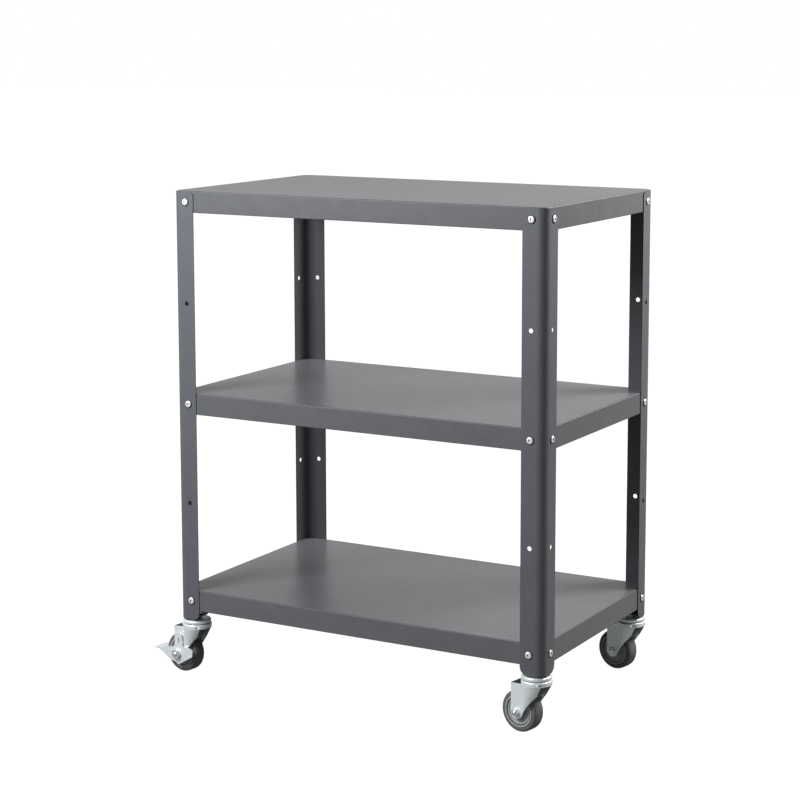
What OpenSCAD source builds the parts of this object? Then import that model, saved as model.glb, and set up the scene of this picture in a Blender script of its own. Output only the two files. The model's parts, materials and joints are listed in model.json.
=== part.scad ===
// Three-shelf steel tool cart on four swivel casters.
// Origin on the floor below the middle of the whole cart, +Z up, front face towards -Y.

/* [Frame] */
// Width over the corner posts
cart_w = 760; // [500:5:1000]
// Depth over the corner posts
cart_d = 455; // [350:5:700]
// Height of the top shelf's surface above the floor
cart_h = 917; // [800:1:1000]
// Width of each post flange
post_leg = 45; // [40:1:60]
// Outside bend radius of the posts
post_bend = 17; // [10:0.5:20]
// Sheet thickness of the posts
post_t = 1.5; // [1.2:0.1:3]
// Rounding of the posts' top corners
post_top_r = 9; // [3:1:15]
// Rounding of the posts' bottom corners
post_foot_r = 15; // [10:1:25]

/* [Shelves] */
// Distance from one shelf surface down to the next
shelf_step = 375; // [340:5:400]
// Depth of the folded apron
apron = 40; // [35:1:60]
// Sheet thickness of the shelves
shelf_t = 1.0; // [0.8:0.1:2]
// Width of the return lip under the apron
lip_w = 12; // [8:1:20]

/* [Fasteners] */
// Radius of the holes in posts and aprons
hole_r = 4.25; // [4.2:0.05:4.5]
// Distance from the post's outer corner to its holes
hole_in = 28; // [26:0.5:32]
// Distance from a shelf surface down to its bolts
hole_down = 20.5; // [15:0.5:22]
// Radius of the round bolt heads
head_r = 6.25; // [5.5:0.25:7]
// Height of the bolt heads
head_h = 2.2; // [1.5:0.1:3]
// Thickness of the washer under each head
washer_t = 0.6; // [0.4:0.1:1]

/* [Casters] */
// Wheel diameter
wheel_d = 75; // [70:1:76]
// Tread width
wheel_w = 27; // [20:1:28]
// Distance from the swivel axis back to the axle
trail = 30; // [25:1:35]
// Distance from the posts' outer faces to the swivel axis
caster_in = 23.5; // [23:0.5:26]
// Radius of the fork's round head
head_disc_r = 27.5; // [26:0.5:28]
// Sheet thickness of the fork
fork_t = 2.5; // [2:0.1:3]
// Inside width of the fork
fork_gap = 31; // [30:0.5:34]
// Swivel angle of the front left caster
turn_fl = -8; // [-180:1:180]
// Swivel angle of the front right caster
turn_fr = -12; // [-180:1:180]
// Swivel angle of the back left caster
turn_bl = -10; // [-180:1:180]
// Swivel angle of the back right caster
turn_br = -13; // [-180:1:180]

/* [Brakes] */
// Reach of the pedal behind the axle
pedal_reach = 59; // [55:1:62]
// Sheet thickness of the pedal
pedal_t = 2; // [1.5:0.1:2.5]
// Distance from the wheel's middle plane to the pedal's inner face
pedal_y = 22.4; // [22.2:0.1:24]

/* [Hidden] */
$fn = 64;
eps = 0.01;
// The trailing casters reach further than the frame, so the frame sits off the origin
frame_x = 32;
corner_name = ["front_left", "front_right", "back_left", "back_right"];
side_x = [-1, 1, -1, 1];
side_y = [-1, -1, 1, 1];
turn = [turn_fl, turn_fr, turn_bl, turn_br];
braked = [true, false, true, false];
shelf_name = ["top", "middle", "bottom"];
shelf_z = [cart_h, cart_h - shelf_step, cart_h - 2 * shelf_step];

// Posts
post_top = cart_h - 1.5;
post_foot = 109.5;
hole_z = [for (i = [0:4]) cart_h - hole_down - i * shelf_step / 2];

// Shelves nest inside the posts
shelf_w = cart_w - 2 * post_t;
shelf_d = cart_d - 2 * post_t;
shelf_corner = post_bend + 1;

// Fasteners, M8
thread_r = 4;
thread_gap = 0.05;
bolt_len = 16;
socket_af = 4;
nut_af = 13;
nut_h = 6.5;
nut_flange_r = 8.6;
nut_flange_h = 1.4;

// Caster bracket in the foot of each post
plate_t = 2.5;
plate_z = 112.5;
plate_size = 37;
plate_lip = 14;
stem_r = 6;
stem_top = 131;
stem_nut_af = 19;
stem_nut_h = 5.3;
lock_nut_h = 7;

// Swivel head
cap_r = 26.5;
cap_z0 = 100.9;
cap_z1 = 107;
fork_top = 99.5;
fork_skirt = 91;
edge_r = 3;
ball_r = 2.5;
ball_ring = 19;
ball_gap = 0.3;
ball_n = 12;
ball_z = (cap_z0 + fork_top) / 2;
rivet_r = 10;
rivet_h = 3;
slot_angle = 44;

// Fork legs
axle_z = wheel_d / 2;
leg_r = 12.5;
leg_out = fork_gap / 2 + fork_t;
crease = trail - leg_r;
leg_top = 89;
edge_arc_r = 200;
bell_step = 0.3;

// Axle, M8 with a shouldered middle
shoulder_r = 5;
axle_head_h = 5;
brake_nut_af = 17;
brake_nut_h = 6;
tread_r = 3.5;
hub_r = 25;
bush_r = 9;

// Brake
brake_collar_r = 9.5;
tread_w = 36;
tread_from = wheel_d / 2 + 3.5;
tread_z = 39;
tongue_w = 17;
tongue_lead = 4;
tongue_top = 79;

// Points along an arc from angle a0 to a1
function arc(x, y, r, a0, a1, n = 8) =
    [for (i = [0:n]) let (a = a0 + (a1 - a0) * i / n) [x + r * cos(a), y + r * sin(a)]];

// Circumradius of a hexagon with the given width across flats
function hex_r(af) = af / 2 / cos(30);

// A corner of the cart: local x and y run inwards from the post's outer corner
module at_corner(c) {
    translate([frame_x + side_x[c] * cart_w / 2, side_y[c] * cart_d / 2, 0])
        mirror([side_x[c] > 0 ? 1 : 0, 0, 0])
            mirror([0, side_y[c] > 0 ? 1 : 0, 0])
                children();
}

// A caster: local z is the swivel axis and the wheel trails towards local -x
module at_caster(c) {
    translate([frame_x + side_x[c] * (cart_w / 2 - caster_in),
               side_y[c] * (cart_d / 2 - caster_in), 0])
        rotate([0, 0, turn[c]])
            children();
}

// An axle: local z runs along the axle towards the caster's -y side
module at_axle() {
    translate([-trail, 0, axle_z])
        rotate([90, 0, 0])
            children();
}

// Children drawn for both flanges of a corner
module both_flanges() {
    children();
    mirror([1, -1, 0]) children();
}

// A disc with a rounded upper edge
module rounded_disc(r, h, e) {
    rotate_extrude() {
        square([r - e, h]);
        square([r, h - e]);
        translate([r - e, h - e]) circle(e);
    }
}

// A hexagonal nut with its bore
module hex_nut(af, h, bore) {
    difference() {
        intersection() {
            cylinder(h = h, r = hex_r(af), $fn = 6);
            chamfered(hex_r(af), h);
        }
        translate([0, 0, -1]) cylinder(h = h + 2, r = bore);
    }
}

// The turned blank that chamfers a hexagon's outer corners
module chamfered(r, h) {
    cylinder(h = h - r * 0.09, r = r + eps);
    translate([0, 0, h - r * 0.09])
        cylinder(h = r * 0.09, r1 = r + eps, r2 = r * 0.88);
}

// Square tube outline with rounded corners
module rounded_rect(w, d, r) {
    square([w - 2 * r, d], center = true);
    square([w, d - 2 * r], center = true);
    for (x = [-1, 1], y = [-1, 1])
        translate([x * (w / 2 - r), y * (d / 2 - r)]) circle(r);
}

// ---- Posts ----

// A quarter of the plane inside the corner bend, set in by t
module post_quarter(t, size) {
    translate([post_bend, t]) square([size, size]);
    translate([t, post_bend]) square([size, size]);
    translate([post_bend, post_bend]) circle(post_bend - t);
}

// Section of the folded angle
module post_section() {
    difference() {
        intersection() {
            post_quarter(0, post_leg);
            square(post_leg);
        }
        post_quarter(post_t, 2 * post_leg);
    }
}

// Takes the square corner off a flange's free edge
module corner_cut(r, z, up) {
    translate([post_leg - r, post_t + 1, z - up * r])
        rotate([90, 0, 0])
            linear_extrude(post_t + 2)
                difference() {
                    translate([0, up > 0 ? 0 : -r - 1]) square(r + 1);
                    circle(r);
                }
}

module post(c) {
    color("dimgray")
    at_corner(c)
        difference() {
            translate([0, 0, post_foot])
                linear_extrude(post_top - post_foot) post_section();
            both_flanges() {
                corner_cut(post_top_r, post_top, 1);
                corner_cut(post_foot_r, post_foot, -1);
                for (z = hole_z)
                    translate([hole_in, post_t + 1, z])
                        rotate([90, 0, 0]) cylinder(h = post_t + 2, r = hole_r);
            }
        }
}

// ---- Shelves ----

// A folded pan: flat top, apron all round and a return lip on each side
module shelf(z) {
    color("slategray")
    translate([frame_x, 0, z - apron])
        difference() {
            linear_extrude(apron) rounded_rect(shelf_w, shelf_d, shelf_corner);
            translate([0, 0, shelf_t])
                linear_extrude(apron - 2 * shelf_t)
                    rounded_rect(shelf_w - 2 * shelf_t, shelf_d - 2 * shelf_t,
                                 shelf_corner - shelf_t);
            translate([0, 0, -1])
                linear_extrude(shelf_t + 2) {
                    square([shelf_w - 2 * lip_w, shelf_d - 2 * lip_w], center = true);
                    for (x = [-1, 1], y = [-1, 1])
                        translate([x * (shelf_w / 2 - shelf_corner - shelf_t),
                                   y * (shelf_d / 2 - shelf_corner - shelf_t)])
                            square(2 * shelf_corner, center = true);
                }
            shelf_holes();
        }
}

// Bolt holes through the aprons
module shelf_holes() {
    hole_x = cart_w / 2 - hole_in;
    hole_y = cart_d / 2 - hole_in;
    for (x = [-hole_x, hole_x], y = [-1, 1])
        translate([x, y * shelf_d / 2, apron - hole_down])
            rotate([90, 0, 0])
                cylinder(h = 6, r = hole_r, center = true);
    for (y = [-hole_y, hole_y], x = [-1, 1])
        translate([x * shelf_w / 2, y, apron - hole_down])
            rotate([0, 90, 0])
                cylinder(h = 6, r = hole_r, center = true);
}

// ---- Shelf fasteners ----

// Every bolt place on one shelf level, with local z pointing outwards
module at_bolts(z) {
    for (c = [0:3])
        at_corner(c)
            both_flanges()
                translate([hole_in, 0, z - hole_down])
                    rotate([90, 0, 0]) children();
}

// Low round head with a hexagon socket
module shelf_bolt() {
    dome_r = (head_r * head_r + head_h * head_h) / (2 * head_h);
    difference() {
        intersection() {
            translate([0, 0, washer_t + head_h - dome_r]) sphere(dome_r);
            translate([0, 0, washer_t]) cylinder(h = head_h + 1, r = head_r);
        }
        translate([0, 0, washer_t + head_h - 1.4])
            cylinder(h = 3, r = hex_r(socket_af), $fn = 6);
    }
    translate([0, 0, washer_t - bolt_len])
        cylinder(h = bolt_len + eps, r = thread_r);
}

module shelf_bolts(z) {
    color("silver") at_bolts(z) shelf_bolt();
}

module shelf_nuts(z) {
    color("silver")
    at_bolts(z)
        translate([0, 0, -post_t - shelf_t])
            mirror([0, 0, 1]) {
                hex_nut(nut_af, nut_h, thread_r + thread_gap);
                difference() {
                    cylinder(h = nut_flange_h, r = nut_flange_r);
                    translate([0, 0, -1])
                        cylinder(h = nut_flange_h + 2, r = thread_r + thread_gap);
                }
            }
}

module bolt_washers() {
    color("black")
    for (z = shelf_z)
        at_bolts(z)
            difference() {
                cylinder(h = washer_t, r = head_r + 1.4);
                translate([0, 0, -1]) cylinder(h = washer_t + 2, r = thread_r + 0.2);
            }
}

// ---- Caster brackets and stems ----

module caster_bracket(c) {
    inner = post_t;
    bend = post_bend - post_t;
    color("dimgray")
    at_corner(c)
        difference() {
            union() {
                translate([0, 0, plate_z])
                    linear_extrude(plate_t)
                        difference() {
                            translate([inner, inner]) square(plate_size);
                            translate([inner, inner]) square(bend);
                        }
                translate([0, 0, plate_z])
                    linear_extrude(plate_t)
                        translate([inner + bend, inner + bend]) circle(bend);
                both_flanges()
                    translate([inner + bend, inner, plate_z])
                        cube([plate_size - bend, 2, plate_lip]);
            }
            translate([caster_in, caster_in, plate_z - 1])
                cylinder(h = plate_t + 2, r = stem_r + 0.3);
        }
}

module caster_stem(c) {
    z0 = fork_top - fork_t - 0.5 - rivet_h;
    color("silver")
    at_caster(c) {
        translate([0, 0, z0]) cylinder(h = stem_top - z0 - 1, r = stem_r);
        translate([0, 0, stem_top - 1]) cylinder(h = 1, r1 = stem_r, r2 = stem_r - 1);
        translate([0, 0, z0]) cylinder(h = rivet_h, r = rivet_r);
    }
}

module stem_nuts(c) {
    color("silver")
    at_caster(c) {
        translate([0, 0, plate_z]) mirror([0, 0, 1])
            hex_nut(stem_nut_af, stem_nut_h, stem_r + thread_gap);
        translate([0, 0, plate_z + plate_t])
            hex_nut(stem_nut_af, lock_nut_h, stem_r + thread_gap);
    }
}

// ---- Swivel head ----

module ball_groove() {
    rotate_extrude() translate([ball_ring, ball_z]) circle(ball_r + ball_gap);
}

module race_cap(c) {
    color("gainsboro")
    at_caster(c)
        difference() {
            translate([0, 0, cap_z0]) rounded_disc(cap_r, cap_z1 - cap_z0, edge_r);
            translate([0, 0, cap_z0 - 1]) cylinder(h = 20, r = stem_r + thread_gap);
            ball_groove();
        }
}

module swivel_balls(c) {
    color("silver")
    at_caster(c)
        for (i = [0:ball_n - 1])
            rotate([0, 0, 360 / ball_n * i])
                translate([ball_ring, 0, ball_z]) sphere(ball_r);
}

// ---- Fork ----

// The bell between the round head and the creases of the two legs
module fork_bell(inset, z1, back) {
    half = leg_out - bell_step - inset;
    hull() {
        translate([0, 0, fork_skirt])
            cylinder(h = z1 - fork_skirt, r = head_disc_r - bell_step - inset, $fn = 48);
        translate([-crease - 1 - back, -half, axle_z - leg_r])
            cube([1 + back, 2 * half, z1 - axle_z + leg_r]);
    }
}

// Side outline of everything in front of the legs that the fork leaves open
module fork_mouth() {
    rise = 49.8;
    x0 = -crease - 2;
    z0 = axle_z - leg_r * sin(32);
    front = arc(x0 + edge_arc_r * sin(rise + 10.6), z0 - edge_arc_r * cos(rise + 10.6),
                edge_arc_r, 90 + rise + 10.6, 90 + rise - 11, 8);
    polygon(concat(front, [[60, 88], [60, 0], [x0, 0]]));
}

module fork_leg() {
    difference() {
        linear_extrude(fork_t)
            union() {
                translate([-trail, axle_z]) circle(leg_r);
                translate([-trail - leg_r, axle_z])
                    square([2 * leg_r, leg_top - axle_z]);
            }
        translate([-trail, axle_z, -1])
            cylinder(h = fork_t + 2, r = thread_r + thread_gap);
    }
}

// Flat web between the tops of the legs, and the head's wall standing on it
module fork_back() {
    translate([-trail - leg_r, -leg_out, leg_top - fork_t])
        cube([trail + leg_r - crease, 2 * leg_out, fork_t]);
    translate([0, 0, leg_top - fork_t])
        intersection() {
            difference() {
                cylinder(h = fork_top - 1.5 - leg_top + fork_t, r = head_disc_r - 0.6);
                translate([0, 0, -1]) cylinder(h = 20, r = head_disc_r - 0.6 - fork_t);
            }
            translate([-60 - crease, -leg_out + 1, -1]) cube([60, 2 * leg_out - 2, 20]);
        }
}

module fork(c) {
    color("gainsboro")
    at_caster(c) {
        difference() {
            union() {
                translate([0, 0, fork_skirt])
                    rounded_disc(head_disc_r, fork_top - fork_skirt, edge_r);
                fork_bell(0, fork_skirt + 1.5, 0);
            }
            fork_bell(fork_t, fork_top - fork_t - 0.5, 40);
            translate([0, 50, 0]) rotate([90, 0, 0]) linear_extrude(100) fork_mouth();
            translate([0, 0, fork_skirt - 1]) cylinder(h = 20, r = stem_r + thread_gap);
            ball_groove();
            for (a = [-slot_angle, slot_angle])
                rotate([0, 0, a])
                    translate([head_disc_r, 0, fork_skirt + 3.2])
                        cube([12, 10, 2.4], center = true);
        }
        fork_back();
        translate([0, -fork_gap / 2, 0]) rotate([90, 0, 0]) fork_leg();
        translate([0, fork_gap / 2 + fork_t, 0]) rotate([90, 0, 0]) fork_leg();
    }
}

// ---- Axle ----

// Room the pedal takes between the fork leg and the nut
function nut_from(c) = braked[c] ? pedal_y + pedal_t + 0.4 : leg_out;

module axle_bolt(c) {
    end = nut_from(c) + brake_nut_h + 1.6;
    color("silver")
    at_caster(c)
        at_axle() {
            translate([0, 0, -leg_out - axle_head_h])
                cylinder(h = axle_head_h, r = hex_r(nut_af), $fn = 6);
            translate([0, 0, -leg_out - eps]) cylinder(h = leg_out + end, r = thread_r);
            translate([0, 0, -fork_gap / 2]) cylinder(h = fork_gap, r = shoulder_r);
        }
}

module axle_nut(c) {
    color("silver")
    at_caster(c)
        at_axle()
            translate([0, 0, nut_from(c)])
                hex_nut(braked[c] ? brake_nut_af : nut_af, brake_nut_h,
                        thread_r + thread_gap);
}

// ---- Wheel ----

module tyre(c) {
    half = wheel_w / 2;
    flat = half - tread_r;
    color("dimgray")
    at_caster(c)
        at_axle()
            rotate_extrude()
                difference() {
                    union() {
                        translate([hub_r, -half + 0.8])
                            square([wheel_d / 2 - hub_r - tread_r, wheel_w - 1.6]);
                        translate([hub_r, -flat])
                            square([wheel_d / 2 - hub_r, 2 * flat]);
                        for (s = [-1, 1]) {
                            translate([wheel_d / 2 - tread_r, s * flat]) circle(tread_r);
                            translate([hub_r + 2.4, s * (half - 0.8)]) circle(0.8);
                        }
                    }
                    for (s = [-1, 1])
                        translate([hub_r, s * half]) circle(1.6);
                }
}

module wheel_hub(c) {
    half = wheel_w / 2;
    color("gray")
    at_caster(c)
        at_axle()
            rotate_extrude()
                difference() {
                    translate([bush_r, -half + 1.6])
                        square([hub_r - bush_r, wheel_w - 3.2]);
                    for (s = [-1, 1])
                        translate([(bush_r + hub_r) / 2, s * (half - 1.2)])
                            square([hub_r - bush_r - 7, 3.6], center = true);
                }
}

module wheel_bush(c) {
    color("silver")
    at_caster(c)
        at_axle()
            rotate_extrude()
                translate([shoulder_r + thread_gap, -wheel_w / 2 - 1])
                    square([bush_r - shoulder_r - thread_gap, wheel_w + 2]);
}

// ---- Brake ----

// Side plate outline, measured from the axle: x leads, y is up
module pedal_outline() {
    tongue_0 = tongue_lead - tongue_w / 2;
    tongue_1 = tongue_lead + tongue_w / 2;
    arc_z = tongue_top - axle_z - tongue_w / 2;
    tip_z = tread_z - axle_z;
    polygon(concat(
        [[-pedal_reach + 12, tip_z], [-40, -2], [-20, -13.5], [-5, -16.5], [3, -20.5],
         [12, -15.5], [38, -0.5], [39, 11.5], [27, 15.5], [tongue_1, 15.5]],
        arc(tongue_lead, arc_z, tongue_w / 2, 0, 180, 12),
        [[tongue_0, 15.5], [-14, 11], [-42, tip_z + pedal_t],
         [-pedal_reach + 12, tip_z + pedal_t]]
    ));
}

module brake_pedal(c) {
    slope = 17;
    color("gainsboro")
    at_caster(c) {
        at_axle()
            difference() {
                union() {
                    translate([0, 0, pedal_y]) linear_extrude(pedal_t) pedal_outline();
                    translate([0, 0, leg_out + 0.4])
                        cylinder(h = pedal_y - leg_out, r = brake_collar_r);
                }
                cylinder(h = 60, r = thread_r + thread_gap);
                translate([tongue_lead, tongue_top - axle_z - tongue_w / 2 - 2, 0])
                    linear_extrude(60) {
                        translate([-1.6, -10]) square([3.2, 10]);
                        circle(1.6);
                        translate([0, -10]) circle(1.6);
                    }
            }
        // Tread across the back of the wheel
        translate([-trail - pedal_reach, -pedal_y - pedal_t, tread_z])
            linear_extrude(pedal_t) {
                translate([4, 0]) square([pedal_reach - tread_from - 4, tread_w]);
                translate([0, 4]) square([pedal_reach - tread_from, tread_w - 8]);
                for (y = [4, tread_w - 4]) translate([4, y]) circle(4);
            }
        // Narrow flange along the sloping top edge
        translate([-trail - tread_from - 1.2, -pedal_y - pedal_t, tread_z])
            rotate([0, -slope, 0])
                cube([22, pedal_y + pedal_t - wheel_w / 2 - 2, pedal_t]);
    }
}

for (i = [0:2]) {
    shelf(shelf_z[i]);
    shelf_bolts(shelf_z[i]);
    shelf_nuts(shelf_z[i]);
}
bolt_washers();
for (c = [0:3]) {
    post(c);
    caster_bracket(c);
    stem_nuts(c);
    caster_stem(c);
    race_cap(c);
    swivel_balls(c);
    fork(c);
    axle_bolt(c);
    axle_nut(c);
    tyre(c);
    wheel_hub(c);
    wheel_bush(c);
}
brake_pedal(0);  // brake_pedal_front_left
brake_pedal(2);  // brake_pedal_back_left
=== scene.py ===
import json
from math import cos, pi, radians, sin, sqrt

import bmesh
import bpy
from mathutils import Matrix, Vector
from mathutils.geometry import delaunay_2d_cdt

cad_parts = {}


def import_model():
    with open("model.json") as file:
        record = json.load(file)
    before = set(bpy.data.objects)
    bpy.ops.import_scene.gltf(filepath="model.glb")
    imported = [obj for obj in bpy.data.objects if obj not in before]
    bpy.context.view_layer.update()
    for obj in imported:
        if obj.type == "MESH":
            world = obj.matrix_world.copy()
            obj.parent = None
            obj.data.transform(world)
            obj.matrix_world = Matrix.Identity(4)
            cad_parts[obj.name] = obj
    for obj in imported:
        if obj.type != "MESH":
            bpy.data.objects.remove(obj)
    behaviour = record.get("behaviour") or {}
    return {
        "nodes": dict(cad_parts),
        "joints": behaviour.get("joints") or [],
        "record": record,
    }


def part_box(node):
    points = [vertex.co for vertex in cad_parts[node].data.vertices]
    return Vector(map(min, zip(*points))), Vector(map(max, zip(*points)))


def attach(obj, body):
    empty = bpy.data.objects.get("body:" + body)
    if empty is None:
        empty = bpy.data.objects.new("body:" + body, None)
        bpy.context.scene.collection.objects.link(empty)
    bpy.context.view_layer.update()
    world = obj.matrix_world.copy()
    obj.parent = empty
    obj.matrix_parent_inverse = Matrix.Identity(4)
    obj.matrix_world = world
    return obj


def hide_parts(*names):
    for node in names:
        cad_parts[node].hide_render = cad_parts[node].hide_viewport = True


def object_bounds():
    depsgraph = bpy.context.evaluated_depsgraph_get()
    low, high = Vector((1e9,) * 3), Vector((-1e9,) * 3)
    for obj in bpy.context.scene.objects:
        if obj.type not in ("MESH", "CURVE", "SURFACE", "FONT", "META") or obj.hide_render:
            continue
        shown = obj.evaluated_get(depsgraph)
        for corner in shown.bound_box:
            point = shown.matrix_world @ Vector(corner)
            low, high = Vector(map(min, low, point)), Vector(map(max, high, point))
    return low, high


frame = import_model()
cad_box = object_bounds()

MM = 0.001
record = frame["record"]
nodes = frame["nodes"]
joints = {j["name"]: j for j in frame["joints"]}
CORNERS = ("front_left", "front_right", "back_left", "back_right")
SHELVES = ("top", "middle", "bottom")


# ---------------------------------------------------------------- materials

# Noise scales are features per metre, bump distances are metres
PAINT_DUST = (0.42, 0.41, 0.39)
RUBBER_DUST = (0.40, 0.39, 0.37)
PALE_GREY, MID_GREY = (0.12, 0.12, 0.12), (0.10, 0.10, 0.10)


def shader(name):
    """A new node material: its tree, its Principled shader and its object coordinates."""
    mat = bpy.data.materials.new(name)
    mat.use_nodes = True
    tree = mat.node_tree
    bsdf = tree.nodes["Principled BSDF"]
    coords = tree.nodes.new("ShaderNodeTexCoord").outputs["Object"]
    return mat, tree, bsdf, coords


def noise(tree, coords, scale, detail=2.0, roughness=0.5, stretch=(1, 1, 1)):
    """A noise texture's grey output, scale in features per metre."""
    mapping = tree.nodes.new("ShaderNodeMapping")
    mapping.inputs["Scale"].default_value = stretch
    tree.links.new(coords, mapping.inputs["Vector"])
    tex = tree.nodes.new("ShaderNodeTexNoise")
    tex.inputs["Scale"].default_value = scale
    tex.inputs["Detail"].default_value = detail
    tex.inputs["Roughness"].default_value = roughness
    tree.links.new(mapping.outputs["Vector"], tex.inputs["Vector"])
    return tex.outputs["Fac"]


def ramp(tree, fac, stops):
    """A colour ramp over a grey input; stops are (position, grey or colour)."""
    node = tree.nodes.new("ShaderNodeValToRGB")
    band = node.color_ramp
    while len(band.elements) < len(stops):
        band.elements.new(0.5)
    for element, (at, value) in zip(band.elements, stops):
        element.position = at
        rgb = (value,) * 3 if isinstance(value, (int, float)) else value
        element.color = (*rgb, 1.0)
    tree.links.new(fac, node.inputs["Fac"])
    return node.outputs["Color"]


def mix(tree, fac, a, b, mode="MIX"):
    """Mixes two colours, each a colour or a socket, by a number or a socket."""
    node = tree.nodes.new("ShaderNodeMix")
    node.data_type = "RGBA"
    node.blend_type = mode
    for socket, value in ((node.inputs[0], fac), (node.inputs[6], a), (node.inputs[7], b)):
        if isinstance(value, bpy.types.NodeSocket):
            tree.links.new(value, socket)
        elif isinstance(value, (int, float)):
            socket.default_value = value
        else:
            socket.default_value = (*value, 1.0)
    return node.outputs[2]


def bump(tree, bsdf, heights):
    """Chains bumps into the shader; heights are (grey socket, distance in metres, strength)."""
    normal = None
    for fac, distance, strength in heights:
        node = tree.nodes.new("ShaderNodeBump")
        node.inputs["Distance"].default_value = distance
        node.inputs["Strength"].default_value = strength
        tree.links.new(fac, node.inputs["Height"])
        if normal is not None:
            tree.links.new(normal, node.inputs["Normal"])
        normal = node.outputs["Normal"]
    tree.links.new(normal, bsdf.inputs["Normal"])


def rough_range(tree, bsdf, fac, low, high):
    """Roughness that follows a grey input between two values."""
    node = tree.nodes.new("ShaderNodeMapRange")
    node.inputs["To Min"].default_value = low
    node.inputs["To Max"].default_value = high
    tree.links.new(fac, node.inputs["Value"])
    tree.links.new(node.outputs["Result"], bsdf.inputs["Roughness"])


def powder_coat(name, colour, dust=0.03, low=0.38, high=0.46, ior=1.5):
    """Satin powder coat: orange peel, faint cloudiness and a little dust."""
    mat, tree, bsdf, co = shader(name)
    cloud = noise(tree, co, 7, 3)
    speck = noise(tree, co, 1500, 2)
    dark = tuple(c * 0.97 for c in colour)
    light = tuple(min(1, c * 1.03) for c in colour)
    base = mix(tree, cloud, dark, light)
    specks = ramp(tree, speck, [(0.35, 0.90), (0.65, 1.08)])
    base = mix(tree, 0.5, base, specks, "MULTIPLY")
    film = ramp(tree, noise(tree, co, 26, 5, 0.6), [(0.45, 0.0), (0.75, dust)])
    base = mix(tree, film, base, PAINT_DUST)
    tree.links.new(base, bsdf.inputs["Base Color"])
    rough_range(tree, bsdf, noise(tree, co, 40, 4), low, high)
    bsdf.inputs["Metallic"].default_value = 0.0
    bsdf.inputs["IOR"].default_value = ior
    bump(tree, bsdf, [(noise(tree, co, 520, 2), 0.00006, 0.30),
                      (noise(tree, co, 1900, 1), 0.00002, 0.30)])
    return mat


def zinc(name, colour, low, high, metallic):
    """Bright zinc plate: cool tint, cloudy gloss, faint pits and fine rolling lines."""
    mat, tree, bsdf, co = shader(name)
    cloud = noise(tree, co, 60, 3)
    warm = (colour[0] * 0.98, colour[1] * 0.96, colour[2] * 0.94)
    base = mix(tree, cloud, warm, colour)
    pits = ramp(tree, noise(tree, co, 420, 4, 0.6), [(0.30, 0.84), (0.42, 1.0)])
    tree.links.new(mix(tree, 0.5, base, pits, "MULTIPLY"), bsdf.inputs["Base Color"])
    bsdf.inputs["Metallic"].default_value = metallic
    rough_range(tree, bsdf, noise(tree, co, 90, 3), low, high)
    bump(tree, bsdf, [(noise(tree, co, 160, 2), 0.00010, 0.08),
                      (noise(tree, co, 900, 2, 0.5, (1, 1, 6)), 0.00001, 0.25)])
    return mat


def moulded(name, colour, low, high, peel=900, depth=0.00006):
    """Matt moulded rubber or plastic with a fine eroded skin."""
    mat, tree, bsdf, co = shader(name)
    cloud = noise(tree, co, 45, 4)
    base = mix(tree, cloud, tuple(c * 0.85 for c in colour), tuple(c * 1.12 for c in colour))
    dust = ramp(tree, noise(tree, co, 130, 6, 0.7), [(0.50, 0.0), (0.80, 0.10)])
    tree.links.new(mix(tree, dust, base, RUBBER_DUST), bsdf.inputs["Base Color"])
    rough_range(tree, bsdf, noise(tree, co, 90, 4), low, high)
    bump(tree, bsdf, [(noise(tree, co, peel, 3), depth, 0.5),
                      (noise(tree, co, 150, 2), depth * 2, 0.15)])
    return mat


MATERIALS = {
    "frame_paint": powder_coat("frame_powder_coat", (0.105, 0.106, 0.118)),
    "shelf_paint": powder_coat("shelf_powder_coat", (0.110, 0.110, 0.115), 0.05,
                               0.28, 0.34, 1.66),
    "bolt_zinc": zinc("bolt_bright_zinc", (1.0, 1.0, 1.0), 0.32, 0.44, 0.55),
    # Near-black washers under the bolt heads: a dark ring round each head that is painted shade
    "washer_black": moulded("washer_black_painted_shade", (0.012, 0.012, 0.014), 0.45, 0.62),
    "tyre_rubber": moulded("tyre_grey_rubber", (0.125, 0.128, 0.122), 0.50, 0.70),
    "hub_grey": moulded("hub_grey_plastic", (0.38, 0.40, 0.40), 0.38, 0.55, 700),
    "caster_zinc": zinc("caster_bright_zinc", (0.93, 1.0, 1.0), 0.30, 0.40, 0.42),
    "caster_steel": zinc("caster_plated_steel", (0.88, 0.92, 0.93), 0.20, 0.32, 0.75),
}
# Shelves' top folds: a darker colour that is painted shade, and a rougher coat
SHELF_FOLD_PAINTED_SHADE = powder_coat("shelf_fold_painted_shade_coat", (0.080, 0.080, 0.085), 0.0, 0.48, 0.55)
# Posts' rims, free edges and hole walls: near-black painted shade
RIM_PAINTED_SHADE = powder_coat("rim_painted_shade_coat", (0.012, 0.012, 0.014), 0.0)
# Posts' faces that look into the cart: a darker coat, painted shade
POST_INSIDE_PAINTED_SHADE = powder_coat("frame_inside_painted_shade_coat", (0.055, 0.056, 0.063), 0.0)
SOCKET_SHADE = moulded("socket_shade", (0.02, 0.02, 0.021), 0.6, 0.8)
TYRE_RING = moulded("tyre_ring_rubber", (0.48, 0.47, 0.46), 0.5, 0.65)
# Dark zinc between the forks' legs and on the heads' tops: painted shade
FORK_INSIDE_PAINTED_SHADE = zinc("fork_inside_painted_shade_zinc", (0.055, 0.062, 0.060), 0.40, 0.55, 0.35)
SLOT_OF = {s["node"]: s["material_slot"] for s in record["subparts"]}


# ---------------------------------------------------------------- mesh tools

MERGE_DISTANCE = 1e-6
BEVEL_SEGMENTS = 2


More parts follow.
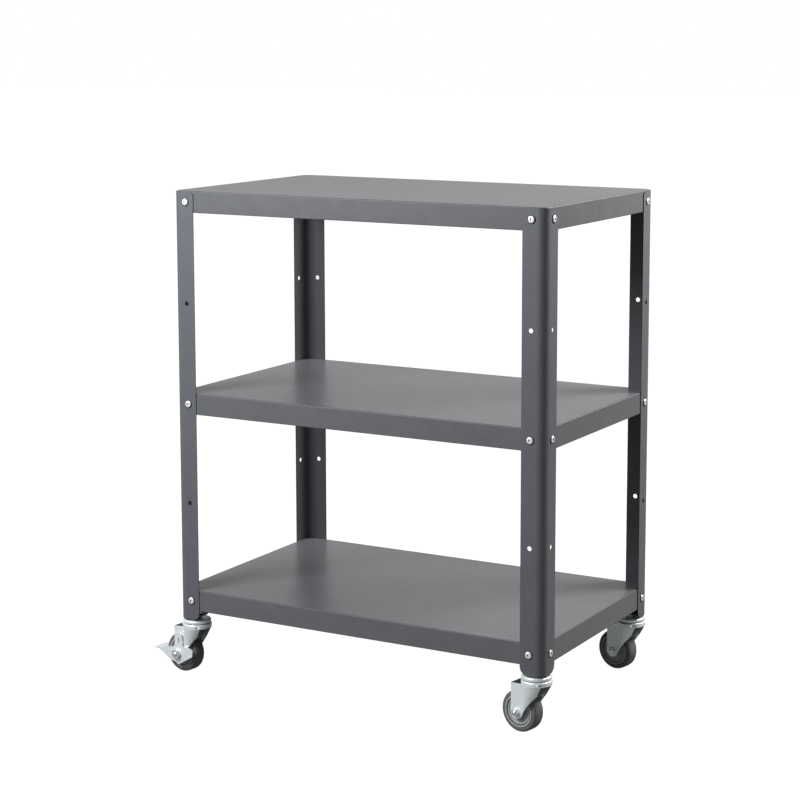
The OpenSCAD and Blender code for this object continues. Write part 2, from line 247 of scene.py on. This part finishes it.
def piece(name, mesh_data, body, slot, stands_for=(), bevel=0.0, smooth=35, second=None):
    """Makes an object from (points, faces, marked faces) and rides it on a body.

    The marked faces take the second material."""
    points, faces, marked = mesh_data
    mesh = bpy.data.meshes.new(name)
    mesh.from_pydata(points, [], faces)
    work = bmesh.new()
    work.from_mesh(mesh)
    bmesh.ops.remove_doubles(work, verts=work.verts, dist=MERGE_DISTANCE)
    bmesh.ops.recalc_face_normals(work, faces=work.faces)
    work.to_mesh(mesh)
    work.free()
    mesh.shade_smooth()
    mesh.materials.append(MATERIALS[slot])
    if second:
        mesh.materials.append(second)
        for i in marked:
            mesh.polygons[i].material_index = 1
    obj = bpy.data.objects.new(name, mesh)
    bpy.context.scene.collection.objects.link(obj)
    if bevel:
        edges = obj.modifiers.new("edges", "BEVEL")
        edges.limit_method = "ANGLE"
        edges.angle_limit = radians(smooth)
        edges.width = bevel
        edges.segments = BEVEL_SEGMENTS
        edges.harden_normals = True
    else:
        mesh.set_sharp_from_angle(angle=radians(smooth))
        weights = obj.modifiers.new("weights", "WEIGHTED_NORMAL")
        weights.keep_sharp = True
    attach(obj, body)
    if stands_for:
        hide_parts(*stands_for)
    return obj


def arc(x, y, r, a0, a1, n):
    """Points along an arc from a0 to a1 degrees."""
    return [(x + r * cos(radians(a0 + (a1 - a0) * i / n)),
             y + r * sin(radians(a0 + (a1 - a0) * i / n))) for i in range(n + 1)]


def filled(outline, holes):
    """Triangles that fill an outline and leave its round holes open."""
    points, edges = [], []
    for loop in [outline] + holes:
        first = len(points)
        points += [Vector((u / MM, v / MM)) for u, v in loop]
        edges += [(first + i, first + (i + 1) % len(loop)) for i in range(len(loop))]
    points, _, tris = delaunay_2d_cdt(points, edges, [], 1, 1e-4)[:3]
    rounds = []
    for hole in holes:
        rim = [Vector(p) / MM for p in hole]
        centre = sum(rim, Vector((0, 0))) / len(rim)
        rounds.append((centre, max((p - centre).length for p in rim)))
    for tri in tris:
        middle = sum((points[i] for i in tri), Vector((0, 0))) / 3
        if all((middle - centre).length > r * 0.99 for centre, r in rounds):
            yield [(points[i].x * MM, points[i].y * MM) for i in tri]


def thick_sheet(regions, place, thickness):
    """A bent sheet from flat regions of its unrolled shape, each (outline, holes).

    place(u, v, depth) gives the point under unrolled (u, v). Edges used once become the
    rim, and its faces are marked."""
    index, flat, faces = {}, [], []

    def key(p):
        k = (round(p[0], 7), round(p[1], 7))
        if k not in index:
            index[k] = len(flat)
            flat.append(k)
        return index[k]

    for outline, holes in regions:
        if holes:
            faces += [[key(p) for p in tri] for tri in filled(outline, holes)]
        else:
            faces.append([key(p) for p in outline])
    count = {}
    for f in faces:
        for i, a in enumerate(f):
            e = tuple(sorted((a, f[i - 1])))
            count[e] = count.get(e, 0) + 1
    n = len(flat)
    points = [place(u, v, 0) for u, v in flat] + [place(u, v, thickness) for u, v in flat]
    solid = faces + [[i + n for i in reversed(f)] for f in faces]
    solid += [[a, b, b + n, a + n] for (a, b), used in count.items() if used == 1]
    return points, solid, range(2 * len(faces), len(solid))


def lathe(profile, steps, place, marked=()):
    """A closed profile of (along, radius) turned about an axis; place maps (x, y, along).

    Marked are the profile's segments whose faces take the second material."""
    points, faces, second = [], [], []
    m = len(profile)
    for i in range(steps):
        a = 2 * pi * i / steps
        points += [place(r * cos(a), r * sin(a), h) for h, r in profile]
    for i in range(steps):
        for j in range(m):
            a, b = i * m + j, i * m + (j + 1) % m
            c, d = ((i + 1) % steps) * m + (j + 1) % m, ((i + 1) % steps) * m + j
            if j in marked:
                second.append(len(faces))
            faces.append([a, b, c, d])
    return points, faces, second


def rings(loops, place):
    """Loops of (x, y, along) with the same count, skinned in order and capped at both ends."""
    n = len(loops[0])
    points = [place(*p) for loop in loops for p in loop]
    faces = [list(range(n))[::-1]]
    for k in range(len(loops) - 1):
        for i in range(n):
            j = (i + 1) % n
            faces.append([k * n + i, k * n + j, (k + 1) * n + j, (k + 1) * n + i])
    faces.append([(len(loops) - 1) * n + i for i in range(n)])
    return points, faces, []


def joined(*meshes):
    """Several (points, faces, marked) as one."""
    points, faces, marked = [], [], []
    for p, f, m in meshes:
        marked += [i + len(faces) for i in m]
        faces += [[i + len(points) for i in face] for face in f]
        points += p
    return points, faces, marked


# ---------------------------------------------------------------- CAD nodes

WELD_DISTANCE = 0.01 * MM
CAD_EDGE = 0.25 * MM
CAD_EDGE_ANGLE = 40
CRISP_ANGLE = 28


def finish_cad(node, name):
    """Gives a CAD node its material, with soft edges, or crisp ones on nuts and bolts."""
    node.data.materials.clear()
    node.data.materials.append(MATERIALS[SLOT_OF[name]])
    if "custom_normal" in node.data.attributes:
        node.data.attributes.remove(node.data.attributes["custom_normal"])
    node.data.shade_smooth()
    weld = node.modifiers.new("weld", "WELD")
    weld.merge_threshold = WELD_DISTANCE
    if "nut" in name or "bolt" in name:
        node.data.set_sharp_from_angle(angle=radians(CRISP_ANGLE))
        return
    edges = node.modifiers.new("edges", "BEVEL")
    edges.limit_method = "ANGLE"
    edges.angle_limit = radians(CAD_EDGE_ANGLE)
    edges.width = CAD_EDGE
    edges.segments = BEVEL_SEGMENTS
    edges.harden_normals = True
    edges.use_clamp_overlap = True


for name, node in nodes.items():
    finish_cad(node, name)


FORK_HALF_GAP = 15.5 * MM
FORK_SKIRT = 91 * MM
FORK_TOP = 99.5 * MM


def shade_fork_inside(corner):
    """Paints shade on what lies between a fork's legs, and on the head's flat top under the race
    cap.
    """
    node = nodes["fork_" + corner]
    axle = Vector(joints["roll_" + corner]["axis"])
    pivot = Vector(joints["swivel_" + corner]["pos_m"])
    node.data.materials.append(FORK_INSIDE_PAINTED_SHADE)
    for face in node.data.polygons:
        centre = node.matrix_world @ face.center
        aside = abs((centre - pivot).dot(axle))
        across = abs((node.matrix_world.to_3x3() @ face.normal).normalized().dot(axle))
        between = aside < FORK_HALF_GAP + 0.2 * MM and centre.z < FORK_SKIRT
        inside = between and (across < 0.5 or aside < FORK_HALF_GAP + 0.1 * MM)
        if inside or centre.z > FORK_TOP - 0.1 * MM:
            face.material_index = 1


for corner in CORNERS:
    shade_fork_inside(corner)


# ---------------------------------------------------------------- posts

POST_BEND = 17 * MM
POST_T = 1.5 * MM
POST_TOP_R = 9 * MM
POST_FOOT_R = 15 * MM
POST_EDGE = 0.3 * MM
BEND_STEPS = 16
HOLE_R = 4.25 * MM
HOLE_IN = 28 * MM
HOLE_DOWN = 20.5 * MM
spare = next(m for m in record["mounts"] if m["name"] == "front_spare_holes")
hole_mid = spare["pos_m"][2]
hole_step = spare["dims"]["spacing_y_mm"] * MM / 2
HOLE_Z = [hole_mid + hole_step * i for i in (-2, -1, 0, 1, 2)]


def corner_frame(corner):
    """The outer corner of a post and the signs that point inwards from it."""
    lo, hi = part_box("post_" + corner)
    left, front = corner.endswith("left"), corner.startswith("front")
    return (lo.x if left else hi.x, lo.y if front else hi.y,
            1 if left else -1, 1 if front else -1)


def mirrored(loop):
    return [(-u, v) for u, v in loop]


def post(corner):
    """A folded angle with a large outside bend, unrolled as u across and v up."""
    lo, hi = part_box("post_" + corner)
    x0, y0, sx, sy = corner_frame(corner)
    leg = hi.x - lo.x - POST_BEND
    bend = POST_BEND * pi / 2
    foot, top = lo.z, hi.z

    def place(u, v, depth):
        r = POST_BEND
        if u > bend / 2:
            a, b = r + u - bend / 2, depth
        elif u < -bend / 2:
            a, b = depth, r - u - bend / 2
        else:
            t = pi / 4 + u / bend * pi / 2
            a, b = r - (r - depth) * cos(t), r - (r - depth) * sin(t)
        return (x0 + sx * a, y0 + sy * b, v)

    free = bend / 2 + leg
    outline = [(bend / 2, foot)]
    outline += arc(free - POST_FOOT_R, foot + POST_FOOT_R, POST_FOOT_R, -90, 0, 12)
    outline += arc(free - POST_TOP_R, top - POST_TOP_R, POST_TOP_R, 0, 90, 8)
    outline += [(bend / 2, top)]
    hole_u = bend / 2 + HOLE_IN - POST_BEND
    holes = [arc(hole_u, z, HOLE_R, 0, 345, 23) for z in HOLE_Z]
    regions = [(outline, holes), (mirrored(outline), [mirrored(h) for h in holes])]
    for i in range(BEND_STEPS):
        u0, u1 = bend * (i / BEND_STEPS - 0.5), bend * ((i + 1) / BEND_STEPS - 0.5)
        regions.append(([(u0, foot), (u1, foot), (u1, top), (u0, top)], []))
    # The rim faces take the painted shade
    piece("corner_post_" + corner, thick_sheet(regions, place, POST_T), "frame",
          "frame_paint", ["post_" + corner], bevel=POST_EDGE, second=RIM_PAINTED_SHADE)


def darken_inside(corner):
    """Gives a post's faces that look into the cart a darker coat, painted shade."""
    mesh = bpy.data.objects["corner_post_" + corner].data
    inwards = Vector((*corner_frame(corner)[2:], 0)).normalized()
    mesh.materials.append(POST_INSIDE_PAINTED_SHADE)
    for face in mesh.polygons:
        if face.material_index == 0 and face.normal.dot(inwards) > 0.3:
            face.material_index = 2


for corner in CORNERS:
    post(corner)
    darken_inside(corner)


# ---------------------------------------------------------------- shelves

SHELF_CORNER = 18 * MM
SHELF_T = 1.0 * MM
TOP_BEND = 2.2 * MM
LIP_BEND = 1.6 * MM
LIP_W = 12 * MM
LIP_AT_CORNER = 2.4 * MM
TOP_FOLD_STEPS = 5


def shelf_path(lo, hi):
    """Outline points as (corner centre or edge point, outward direction, lip width)."""
    path = []
    r = SHELF_CORNER
    centres = [(hi.x - r, hi.y - r), (lo.x + r, hi.y - r),
               (lo.x + r, lo.y + r), (hi.x - r, lo.y + r)]
    for k, (cx, cy) in enumerate(centres):
        for i in range(11):
            a = radians(90 * k + 9 * i)
            path.append(((cx, cy), (cos(a), sin(a)), LIP_AT_CORNER))
        nx, ny = centres[(k + 1) % 4]
        length = sqrt((nx - cx) ** 2 + (ny - cy) ** 2)
        along = ((nx - cx) / length, (ny - cy) / length)
        out = path[-1][1]
        for d in (LIP_W, length - LIP_W):
            path.append(((cx + along[0] * d, cy + along[1] * d), out, LIP_W))
    return path


def shelf_section(top, bottom, lip):
    """The pan's section as (inset, z), from the top's edge round the lip to the underside."""
    t, big, small = SHELF_T, TOP_BEND, LIP_BEND
    out = [(big - big * sin(radians(a)), top - big + big * cos(radians(a)))
           for a in (0, 18, 36, 54, 72, 90)]
    out += [(small - small * cos(radians(a)), bottom + small - small * sin(radians(a)))
            for a in (0, 30, 60, 90)]
    out += [(lip, bottom), (lip, bottom + t)]
    small -= t
    out += [(t + small - small * cos(radians(a)), bottom + t + small - small * sin(radians(a)))
            for a in (90, 45, 0)]
    big -= t
    out += [(t + big - big * sin(radians(a)), top - t - big + big * cos(radians(a)))
            for a in (90, 45, 0)]
    return out


def shelf(level):
    """A folded pan: its section skinned round its outline, with both flat sides filled."""
    lo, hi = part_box("shelf_" + level)
    points, rows = [], []
    for (cx, cy), (dx, dy), lip in shelf_path(lo, hi):
        row = []
        for inset, z in shelf_section(hi.z, lo.z, lip):
            row.append(len(points))
            reach = SHELF_CORNER - inset
            points.append((cx + dx * reach, cy + dy * reach, z))
        rows.append(row)
    faces, folds = [], []
    for i, row in enumerate(rows):
        last = rows[i - 1]
        for j in range(len(row) - 1):
            # The top fold's faces take the painted shade
            if j < TOP_FOLD_STEPS:
                folds.append(len(faces))
            faces.append([last[j], row[j], row[j + 1], last[j + 1]])
    faces.append([row[0] for row in rows])
    faces.append([row[-1] for row in reversed(rows)])
    piece("shelf_pan_" + level, (points, faces, folds), "frame", "shelf_paint",
          ["shelf_" + level], second=SHELF_FOLD_PAINTED_SHADE)


for level in SHELVES:
    shelf(level)


# ---------------------------------------------------------------- bolts

HEAD_R = 6.25 * MM
HEAD_POINTS = 36
SHANK_POINTS = 20
SOCKET_AF = 4.2 * MM
SOCKET_DEEP = 1.7 * MM
BOLT_R = 4 * MM
BOLT_LEN = 16 * MM
WASHER_T = 0.6 * MM


def hexagon(r, n):
    """Radii that draw a hexagon of inradius r with n points."""
    return [r / cos((2 * pi * i / n) % (pi / 3) - pi / 6) for i in range(n)]


def circle(r, h, n=HEAD_POINTS):
    return [(r * cos(2 * pi * i / n), r * sin(2 * pi * i / n), h) for i in range(n)]


def bolt_head(place, head_h):
    """Low domed head with a rounded rim and a hexagon socket, base at the washer."""
    n = HEAD_POINTS
    loops = [circle(HEAD_R * 0.95, 0), circle(HEAD_R, 0.2 * MM), circle(HEAD_R, head_h * 0.25)]
    brim = SOCKET_AF * 0.68
    for k in range(1, 7):
        t = radians(15 * k)
        loops.append(circle(brim + (HEAD_R - brim) * cos(t), head_h * (0.25 + 0.75 * sin(t))))
    for scale, h in ((1.08, head_h), (1.0, head_h - 0.2 * MM), (0.98, head_h - SOCKET_DEEP)):
        loops.append([(r * scale * cos(2 * pi * i / n), r * scale * sin(2 * pi * i / n), h)
                      for i, r in enumerate(hexagon(SOCKET_AF / 2, n))])
    points, faces, _ = rings(loops, place)
    return points, faces, range(len(faces) - 1 - n, len(faces))


def thread(place, r, h0, h1, pitch=1.25 * MM):
    """A threaded shank drawn as fine grooves, with a chamfered end at h1."""
    n = round(abs(h1 - h0) / pitch)
    step = (h1 - h0) / n
    loops = [circle(r * 0.6, h0, SHANK_POINTS)]
    for k in range(n):
        for scale, part in ((1.0, 0.1), (1.0, 0.35), (0.86, 0.7)):
            loops.append(circle(r * scale, h0 + step * (k + part), SHANK_POINTS))
    loops.append(circle(r * 0.80, h1, SHANK_POINTS))
    return rings(loops, place)


def bolt_places(level):
    """Every bolt of a shelf as a function from (across, up, outwards) to space."""
    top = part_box("shelf_" + level)[1].z
    z0 = min(HOLE_Z, key=lambda z: abs(z - top + HOLE_DOWN))
    for corner in CORNERS:
        x0, y0, sx, sy = corner_frame(corner)
        yield lambda a, b, h, x=x0 + sx * HOLE_IN, y=y0, s=sy: (x + a, y - s * h, z0 + b)
        yield lambda a, b, h, x=x0, y=y0 + sy * HOLE_IN, s=sx: (x - s * h, y + a, z0 + b)


def bolts(level):
    """A shelf's eight round-head bolts as one piece."""
    lo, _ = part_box("shelf_bolts_" + level)
    post_lo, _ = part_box("post_front_left")
    head_h = post_lo.x - lo.x - WASHER_T
    parts = []
    for place in bolt_places(level):
        lift = lambda a, b, h, place=place: place(a, b, h + WASHER_T)
        parts += [bolt_head(lift, head_h), thread(lift, BOLT_R, 0.5 * MM, -BOLT_LEN)]
    piece("round_head_bolts_" + level, joined(*parts), "frame", "bolt_zinc",
          ["shelf_bolts_" + level], smooth=30, second=SOCKET_SHADE)


for level in SHELVES:
    bolts(level)


# ---------------------------------------------------------------- wheels

def axle_frame(corner):
    """Places (x, y, along) about a wheel's axle; along runs out to the fork's nut side."""
    joint = joints["roll_" + corner]
    axis = Vector(joint["axis"]).normalized()
    lo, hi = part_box("tyre_" + corner)
    centre = (lo + hi) / 2
    if axis.y > 0:
        axis = -axis
    up = Vector((0, 0, 1))
    side = up.cross(axis)
    return lambda x, y, h: tuple(centre + side * x + up * y + axis * h)


def both_sides(half):
    """A section symmetrical about the wheel's middle, from its +side half."""
    return [(a * MM, r * MM) for a, r in half] + [(-a * MM, r * MM) for a, r in reversed(half)]


TYRE_STEPS = 96
HUB_STEPS = 80
# Half sections as (distance from the wheel's middle plane, radius) in millimetres
TYRE_SIDE = [(11.4, 25.0), (11.7, 25.9), (13.1, 26.3), (13.45, 26.8), (13.5, 27.5), (13.45, 28.2),
             (13.0, 28.8), (12.3, 29.1), (12.3, 30.2), (12.6, 32.0), (12.6, 33.4), (12.2, 34.8),
             (11.3, 36.0), (9.9, 36.9), (8.0, 37.35), (5.0, 37.5)]
RING = (2, 3, 4, 5)
HUB_SIDE = [(11.9, 9.1), (11.9, 12.2), (11.5, 12.7), (10.5, 13.0), (10.3, 13.6), (10.3, 20.6),
            (10.5, 21.3), (11.4, 21.8), (11.8, 22.3), (11.8, 23.6), (11.3, 24.4), (10.0, 24.8),
            (9.8, 25.0)]


def wheel(corner):
    """Tyre with a pale ring standing in a groove, and a hub with two ribs."""
    place = axle_frame(corner)
    section = both_sides(TYRE_SIDE)
    ring = list(RING) + [len(section) - 2 - j for j in RING]
    piece("grey_tyre_" + corner, lathe(section, TYRE_STEPS, place, ring), "wheel_" + corner,
          "tyre_rubber", ["tyre_" + corner], smooth=50, second=TYRE_RING)
    piece("grey_hub_" + corner, lathe(both_sides(HUB_SIDE), HUB_STEPS, place), "wheel_" + corner,
          "hub_grey", ["wheel_hub_" + corner], smooth=50)


for corner in CORNERS:
    wheel(corner)


# ---------------------------------------------------------------- stage

# How bright the room is, by the height and by the nearness to the gap that a ray looks at
WORLD_HEIGHT = [(0.0, 0.95), (0.35, 1.0), (0.9, 0.45)]
GAP_AZIMUTH = 55
WORLD_GAP = [(0.45, 1.0), (0.80, 0.18)]
WORLD_STRENGTH = 0.57
FLOOR_IN_GLOSS = 0.2
FLOOR_HALF = 30.0


def stage_floor():
    """A wide white floor, lit from below like a light table, so shadows on it stay faint."""
    size = FLOOR_HALF
    mesh = bpy.data.meshes.new("floor")
    mesh.from_pydata([(-size, -size, 0), (size, -size, 0), (size, size, 0), (-size, size, 0)],
                     [], [(0, 1, 2, 3)])
    floor = bpy.data.objects.new("floor", mesh)
    bpy.context.scene.collection.objects.link(floor)
    mat, tree, bsdf, co = shader("floor_pale")
    tree.links.new(mix(tree, noise(tree, co, 3, 3), MID_GREY, PALE_GREY),
                   bsdf.inputs["Base Color"])
    bsdf.inputs["Roughness"].default_value = 0.9
    bsdf.inputs["Specular IOR Level"].default_value = 0.0
    glow = tree.nodes.new("ShaderNodeEmission")
    glow.inputs["Color"].default_value = (1, 1, 1, 1)
    path = tree.nodes.new("ShaderNodeLightPath")
    seen = tree.nodes.new("ShaderNodeMath")
    seen.operation = "MAXIMUM"
    tree.links.new(path.outputs["Is Camera Ray"], seen.inputs[0])
    gloss = tree.nodes.new("ShaderNodeMath")
    gloss.operation = "MULTIPLY"
    tree.links.new(path.outputs["Is Glossy Ray"], gloss.inputs[0])
    gloss.inputs[1].default_value = FLOOR_IN_GLOSS
    tree.links.new(gloss.outputs[0], seen.inputs[1])
    tree.links.new(seen.outputs[0], glow.inputs["Strength"])
    both = tree.nodes.new("ShaderNodeAddShader")
    tree.links.new(bsdf.outputs[0], both.inputs[0])
    tree.links.new(glow.outputs[0], both.inputs[1])
    tree.links.new(both.outputs[0], tree.nodes["Material Output"].inputs["Surface"])
    mesh.materials.append(mat)


def towards(azimuth, elevation=0):
    """Unit vector to a compass point: azimuth 0 is -Y and 90 is +X, like the camera's angles."""
    a, e = radians(azimuth), radians(elevation)
    return Vector((sin(a) * cos(e), -cos(a) * cos(e), sin(e)))


SOFTBOX_HEIGHT = 1.7
SOFTBOX_AIM = 0.80
SOFTBOX_SIZE = 0.9


def softbox(name, azimuth, away, power, colour=(1, 1, 1)):
    """A square area light, away metres from the cart's middle, aimed at a height on it."""
    data = bpy.data.lights.new(name, "AREA")
    data.energy = power
    data.color = colour
    data.shape = "SQUARE"
    data.size = SOFTBOX_SIZE
    light = bpy.data.objects.new(name, data)
    middle = (cad_box[0] + cad_box[1]) / 2
    target = Vector((middle.x, middle.y, SOFTBOX_AIM))
    at = Vector((middle.x, middle.y, SOFTBOX_HEIGHT)) + towards(azimuth) * away
    light.location = at
    light.rotation_euler = (target - at).to_track_quat("-Z", "Y").to_euler()
    bpy.context.scene.collection.objects.link(light)


def world():
    """A white room, dimmer overhead, with a dark gap between its front and right walls."""
    made = bpy.data.worlds.new("studio")
    bpy.context.scene.world = made
    made.use_nodes = True
    tree = made.node_tree
    tree.nodes.clear()
    coords = tree.nodes.new("ShaderNodeTexCoord").outputs["Generated"]
    split = tree.nodes.new("ShaderNodeSeparateXYZ")
    tree.links.new(coords, split.inputs[0])
    shade = ramp(tree, split.outputs["Z"], WORLD_HEIGHT)
    dot = tree.nodes.new("ShaderNodeVectorMath")
    dot.operation = "DOT_PRODUCT"
    tree.links.new(coords, dot.inputs[0])
    dot.inputs[1].default_value = towards(GAP_AZIMUTH)
    gap = ramp(tree, dot.outputs["Value"], WORLD_GAP)
    room = tree.nodes.new("ShaderNodeBackground")
    tree.links.new(mix(tree, 1.0, shade, gap, "MULTIPLY"), room.inputs["Color"])
    room.inputs["Strength"].default_value = WORLD_STRENGTH
    seen = tree.nodes.new("ShaderNodeBackground")
    seen.inputs["Color"].default_value = (1, 1, 1, 1)
    path = tree.nodes.new("ShaderNodeLightPath")
    both = tree.nodes.new("ShaderNodeMixShader")
    tree.links.new(path.outputs["Is Camera Ray"], both.inputs[0])
    tree.links.new(room.outputs[0], both.inputs[1])
    tree.links.new(seen.outputs[0], both.inputs[2])
    out = tree.nodes.new("ShaderNodeOutputWorld")
    tree.links.new(both.outputs[0], out.inputs["Surface"])


# Where the picture was taken from
CAMERA_AT = (1.8998, -3.3275, 1.2214)
CAMERA_AZIMUTH = 28.92
CAMERA_PITCH = -8.0
CAMERA_LENS = 93.47
CAMERA_SHIFT = (-0.035, -0.107)


def camera():
    """The main view, aimed a little down and shifted."""
    data = bpy.data.cameras.new("camera")
    data.sensor_width = 36
    data.lens = CAMERA_LENS
    data.shift_x, data.shift_y = CAMERA_SHIFT
    data.clip_end = 100
    cam = bpy.data.objects.new("camera", data)
    cam.location = CAMERA_AT
    cam.rotation_euler = (radians(90 + CAMERA_PITCH), 0, radians(CAMERA_AZIMUTH))
    bpy.context.scene.collection.objects.link(cam)
    bpy.context.scene.camera = cam


stage_floor()
world()
softbox("front_left", -27, 1.8, 56, (0.92, 0.96, 1.0))
softbox("back_right", 125, 1.65, 54)
camera()
bpy.context.scene.view_settings.view_transform = "Standard"
